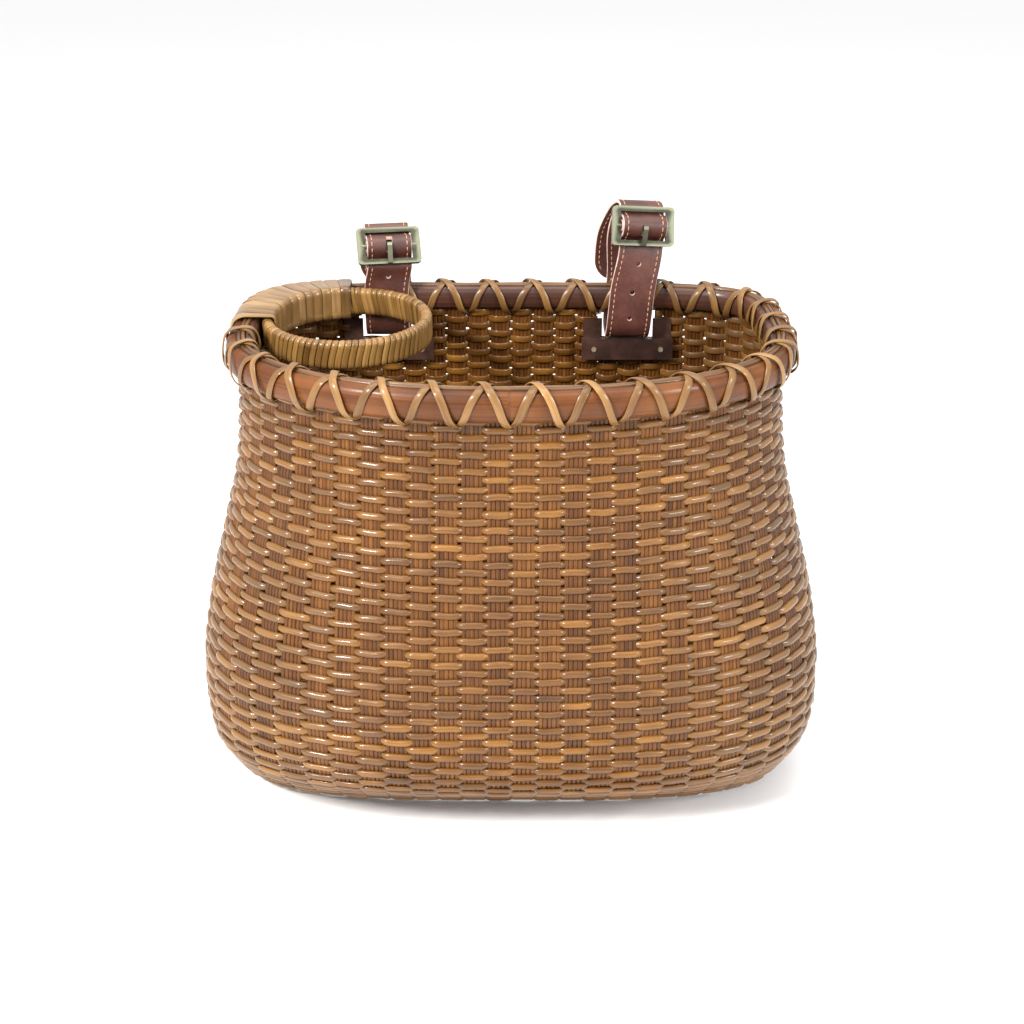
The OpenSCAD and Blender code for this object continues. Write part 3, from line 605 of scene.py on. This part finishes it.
# ---------------------------------------------------------------- straps
BACK_R = [[-1.8,57.2],[1.8,57.4],[5.6,55.8],[9.6,51.6],[12.8,44.8],[14.6,35.5],[15,24],[14.8,13],[12.6,3.6],[8.4,-0.9],[3,-1.7],
  [-4,-1.7],[-9.4,-0.6],[-12.8,3.6],[-14,10],[-14.2,18],[-14,26],[-13.4,34],[-12.8,39]]
TAIL_R = [[-2.2,61.9],[1.6,61.7],[5.6,60],[9.8,56.2],[13.3,50.7],[16,44.1],[17.4,35.6],[17.7,27],[17.5,19]]
BACK_L = [[1.6,46.2],[5,44.4],[8.2,41.2],[11,36.4],[13,30],[13.7,23],[13.6,15],[12.6,6.6],[9.6,0.6],[4.6,-1.6],[-2,-1.7],
  [-5.6,-0.6],[-8.6,3],[-9.9,8],[-10.1,16],[-10.2,22],[-10.7,28]]
TAIL_L = [[1,50.6],[4.8,49.2],[8.6,46.2],[11.8,41.8],[14.3,36.1],[15.8,30.1],[16.4,23.5],[16.4,17]]
FOLD = [[1.6,-6.6],[0,-4.9],[-1.3,-3],[-2.1,-1.1],[-2,0.8],[-0.8,2.05],[0.8,2.05],[2,0.9],[2.5,-1],[3.2,-3],[4.4,-4.9]]
TONGUE = [[-9.4,-2.8],[-7.2,-2.6],[-5.6,-1.75],[-4.7,0],[-4,1.9],[-2.6,3.4],[-0.8,4.15],[1,4.1],[2.8,3.2],[4,1.6],[4.7,-0.1],[5.6,-1.9],[7.4,-2.6],[9.6,-3]]
PY, PZ = 78.2, 177.5
BAR = {1: (-11.2, 53, 20, 4.5), -1: (-9.1, 43, 38, 0)}
LEAN, PX = {1: 4.5, -1: 0}, {1: 56.0, -1: -59.5}
def at_bar(s, P):
    v, w, t, _ = BAR[s]; t = math.radians(t)
    return [[v + p*math.sin(t) - q*math.cos(t), w + p*math.cos(t) + q*math.sin(t)] for p, q in P]
def turn(s, w): return 10*ease((w - 20)/(26 if s > 0 else 16))
def place(s, v, w):
    a = np.radians(turn(s, w)); ln = LEAN[s]
    return np.stack([PX[s] + np.maximum(0, w)*math.tan(math.radians(ln)) - v*np.sin(a), PY + v*np.cos(a), PZ + w], -1)
def across(s, w):
    a = np.radians(turn(s, w)); ln = math.radians(LEAN[s])
    q = np.stack([np.cos(a)*math.cos(ln), np.sin(a), -math.sin(ln)*np.cos(a)*ease(w/10)], -1)
    return q/np.linalg.norm(q, axis=-1, keepdims=True)
def smooth_path(P, k):
    P = np.array(P, float); n = len(P); out = []
    for i in range(n - 1):
        a, b, c, d = P[max(0, i-1)], P[i], P[i+1], P[min(n-1, i+2)]
        for j in range(k):
            t = j/k
            out.append(0.5*((2*b) + (c - a)*t + (2*a - 5*b + 4*c - d)*t*t + (3*b - a - 3*c + d)*t**3))
    out.append(P[-1]); return np.array(out)
def buckle_matrix(s):
    v, w, tilt, ln = BAR[s]
    p = place(s, np.array(float(v)), np.array(float(w)))
    return (Matrix.Translation(Vector(p)) @ Matrix.Rotation(math.radians(turn(s, w)), 4, "Z")
            @ Matrix.Rotation(math.radians(ln), 4, "Y") @ Matrix.Rotation(math.radians(-tilt), 4, "X"))

def strap(s, name, node, tnode, body):
    tail = TAIL_R if s > 0 else TAIL_L
    ctl = at_bar(s, FOLD) + (BACK_R if s > 0 else BACK_L) + at_bar(s, TONGUE) + tail
    P2 = smooth_path(ctl, 8)
    drift = (7 if s > 0 else 4)*ease((np.arange(len(P2))/8 - (len(ctl) - len(tail) - 0.0))/len(tail))
    sg = np.concatenate([[0], np.cumsum(np.linalg.norm(np.diff(P2, axis=0), axis=1))])
    step = 1.15
    t = np.linspace(0, sg[-1], int(sg[-1]/step) + 1)
    drift = np.interp(t, sg, drift)
    P2 = np.column_stack([np.interp(t, sg, P2[:, 0]), np.interp(t, sg, P2[:, 1])])
    C = place(s, P2[:, 0], P2[:, 1]); X = across(s, P2[:, 1]); C[:, 0] -= drift
    T = np.gradient(C, axis=0); T /= np.linalg.norm(T, axis=1)[:, None]
    Nn = np.cross(X, T); Nn /= np.linalg.norm(Nn, axis=1)[:, None]
    W = 10.5
    cols = np.array([-10.5, -10.3, -9.8, -8.9, -8.3, -7.7, -6, -4, -2.6, -1.5, 0, 1.5, 2.6, 4, 6, 7.7, 8.3, 8.9, 9.8, 10.3, 10.5])
    hth = np.interp(np.abs(cols), [0, 7.7, 8.3, 8.9, 9.8, 10.3, 10.5], [0.9, 0.9, 0.80, 0.9, 0.88, 0.74, 0.55])
    rest = t[-1] - t
    tipL = 10.0
    fw = np.where(rest < tipL, np.sqrt(np.clip(1 - (1 - rest/tipL)**2.1, 0.0004, 1))*0.985 + 0.015, 1.0)
    n, k = len(t), len(cols)
    # slot for the prong, by distance to the bar in the buckle's own frame
    Mi = buckle_matrix(s).inverted()
    loc = np.array([Mi @ Vector(c) for c in C])
    cut = (loc[:, 2] > -4.2) & (loc[:, 2] < 3.2) & (loc[:, 1] < 2.1) & (loc[:, 1] > -6.5) & ((loc[:, 1] > -3.2) | (loc[:, 2] < 1.0) | (s < 0))
    top = C[:, None] + X[:, None]*(cols[None, :, None]*fw[:, None, None]) - Nn[:, None]*hth[None, :, None]
    bot = C[:, None] + X[:, None]*(cols[None, :, None]*fw[:, None, None]) + Nn[:, None]*hth[None, :, None]
    V = np.concatenate([top.reshape(-1, 3), bot.reshape(-1, 3)]); off = n*k
    F, MI = [], []
    pres = np.ones((n - 1, k - 1), bool)
    for i in range(n - 1):
        if cut[i] and cut[i+1]: pres[i, 9:11] = False
    vid = lambda i, j, b: i*k + j + (off if b else 0)
    for i in range(n - 1):
        for j in range(k - 1):
            if not pres[i, j]: continue
            F.append([vid(i, j, 0), vid(i, j+1, 0), vid(i+1, j+1, 0), vid(i+1, j, 0)]); MI.append(1 if j in (0, k-2) else 0)
            F.append([vid(i, j, 1), vid(i+1, j, 1), vid(i+1, j+1, 1), vid(i, j+1, 1)]); MI.append(1 if j in (0, k-2) else 0)
            if i == 0 or not pres[i-1, j]: F.append([vid(i, j, 0), vid(i, j, 1), vid(i, j+1, 1), vid(i, j+1, 0)]); MI.append(1)
            if i == n-2 or not pres[i+1, j]: F.append([vid(i+1, j, 0), vid(i+1, j+1, 0), vid(i+1, j+1, 1), vid(i+1, j, 1)]); MI.append(1)
            if j == 0 or not pres[i, j-1]: F.append([vid(i, j, 0), vid(i+1, j, 0), vid(i+1, j, 1), vid(i, j, 1)]); MI.append(1)
            if j == k-2 or not pres[i, j+1]: F.append([vid(i, j+1, 0), vid(i, j+1, 1), vid(i+1, j+1, 1), vid(i+1, j+1, 0)]); MI.append(1)
    used = np.unique(np.concatenate(F)); remap = -np.ones(len(V), int); remap[used] = np.arange(len(used))
    F = [remap[np.array(f)] for f in F]
    ob = new_obj(name, V[used], F, [M_leather, M_ledge], MI, angle=50)
    # round holes down the front run
    bm = bmesh.new()
    lo = 19 if s > 0 else 22
    front = [i for i in range(n) if P2[i, 0] < -8 and 3 < P2[i, 1] < (42 if s > 0 else 34) and T[i, 2] > 0]
    hole_w = [36, 22, 8.5] if s > 0 else [29]
    for hw in hole_w:
        i = min(front, key=lambda q: abs(P2[q, 1] - hw))
        m = Matrix.Translation(Vector(C[i]*MM)) @ Matrix(((X[i][0], T[i][0], Nn[i][0], 0), (X[i][1], T[i][1], Nn[i][1], 0), (X[i][2], T[i][2], Nn[i][2], 0), (0, 0, 0, 1)))
        bmesh.ops.create_cone(bm, cap_ends=True, segments=20, radius1=1.15*MM, radius2=1.15*MM, depth=4*MM, matrix=m)
    cme = bpy.data.meshes.new("cut"); bm.to_mesh(cme); bm.free(); cme.materials.append(M_ledge)
    cob = bpy.data.objects.new("cut", cme); bpy.context.scene.collection.objects.link(cob)
    md = ob.modifiers.new("holes", "BOOLEAN"); md.object = cob; md.operation = "DIFFERENCE"; md.solver = "EXACT"
    dg = bpy.context.evaluated_depsgraph_get(); dg.update()
    me2 = bpy.data.meshes.new_from_object(ob.evaluated_get(dg)); ob.modifiers.clear()
    old = ob.data
    if len(me2.polygons) > 100: ob.data = me2
    bpy.data.objects.remove(cob); bpy.data.meshes.remove(cme)
    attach(ob, body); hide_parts(node)
    # stitches
    S = Strands()
    pitch, ln = 2.7, 1.95
    m = int((t[-1] - 6)/pitch)
    for side_ in (-1, 1):
        for face in (-1, 1):
            for q in range(m):
                s0 = 2.0 + q*pitch
                ss = s0 + np.array([0, 0.18, 0.5, 0.82, 1.0])*ln
                hh = np.array([-0.12, 0.10, 0.17, 0.10, -0.12])
                Cq = np.column_stack([np.interp(ss, t, C[:, a]) for a in range(3)])
                Xq = np.column_stack([np.interp(ss, t, X[:, a]) for a in range(3)])
                Nq = np.column_stack([np.interp(ss, t, Nn[:, a]) for a in range(3)])
                fq = np.interp(ss, t, fw)
                uu = side_*(8.3 - 10.5*(1 - fq))
                if (uu*side_ < 0.6).any(): continue
                S.add(Cq + Xq*uu[:, None] + Nq*(face*(0.80 + hh))[:, None], Xq, Nq*face, round_sec(0.24, 6), False, rng.rand(), np.array([0.55, 0.95, 1, 0.95, 0.55]))
    to = S.make(name + "_stitches", M_thread)
    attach(to, body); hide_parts(tnode)
strap(-1, "leather_strap_left", "strap_left", "strap_thread_left", "strap_left")
strap(1, "leather_strap_right", "strap_right", "strap_thread_right", "strap_right")

# ---------------------------------------------------------------- CAD nodes that stay
def finish_node(node, mat, bevel, seg=3):
    ob = bpy.data.objects.get(node)
    if ob is None:
        ob = [o for o in bpy.data.objects if o.name.startswith(node)][0]
    if len(ob.material_slots) == 0: ob.data.materials.append(mat)
    for sl_ in ob.material_slots: sl_.material = mat
    if bevel:
        md = ob.modifiers.new("edge", "BEVEL"); md.width = bevel*MM; md.segments = seg; md.limit_method = "ANGLE"; md.angle_limit = math.radians(40)
        md.harden_normals = False
finish_node("cup_ring_core", M_core, 0)
for sd in ("left", "right"):
    finish_node("slot_posts_" + sd, M_dark, 0.5)
    finish_node("slot_bar_" + sd, M_dark, 0.6)
    finish_node("slot_pins_" + sd, M_pin, 0.15)
    finish_node("buckle_frame_" + sd, M_bronze, 0.45)
    finish_node("buckle_prong_" + sd, M_bronze, 0.3)

# ---------------------------------------------------------------- stage
def area(name, loc, tgt, size, power, color=(1, 1, 1)):
    l = bpy.data.lights.new(name, "AREA"); l.shape = "RECTANGLE"; l.size, l.size_y = size; l.energy = power; l.color = color
    o = bpy.data.objects.new(name, l); bpy.context.scene.collection.objects.link(o)
    o.location = loc; o.rotation_euler = (Vector(tgt) - Vector(loc)).to_track_quat("-Z", "Y").to_euler()
    return o
area("key", (-0.62, -0.70, 0.80), (0, 0, 0.10), (0.16, 0.24), 18.0, (1.0, 0.98, 0.95))
area("fill", (0.80, -0.62, 0.62), (0, 0, 0.10), (0.2, 0.3), 7.5, (0.96, 0.98, 1.0))
area("top", (0.0, -0.05, 1.25), (0, 0, 0.10), (1.0, 0.8), 11.0)
fv = np.array([[-60000, -60000, 0], [60000, -60000, 0], [60000, 60000, 0], [-60000, 60000, 0]], float)
mf, ntf, bf = nodes("m_floor")
bf.inputs["Base Color"].default_value = (0.9, 0.9, 0.9, 1); bf.inputs["Roughness"].default_value = 0.8
floor = new_obj("floor", fv, np.array([[0, 1, 2, 3]]), mf, smooth=False)
w = bpy.data.worlds.new("w"); bpy.context.scene.world = w; w.use_nodes = True
w.node_tree.nodes["Background"].inputs[0].default_value = (1, 1, 1, 1)
w.node_tree.nodes["Background"].inputs[1].default_value = 1.03
bpy.context.scene.view_settings.view_transform = "Standard"
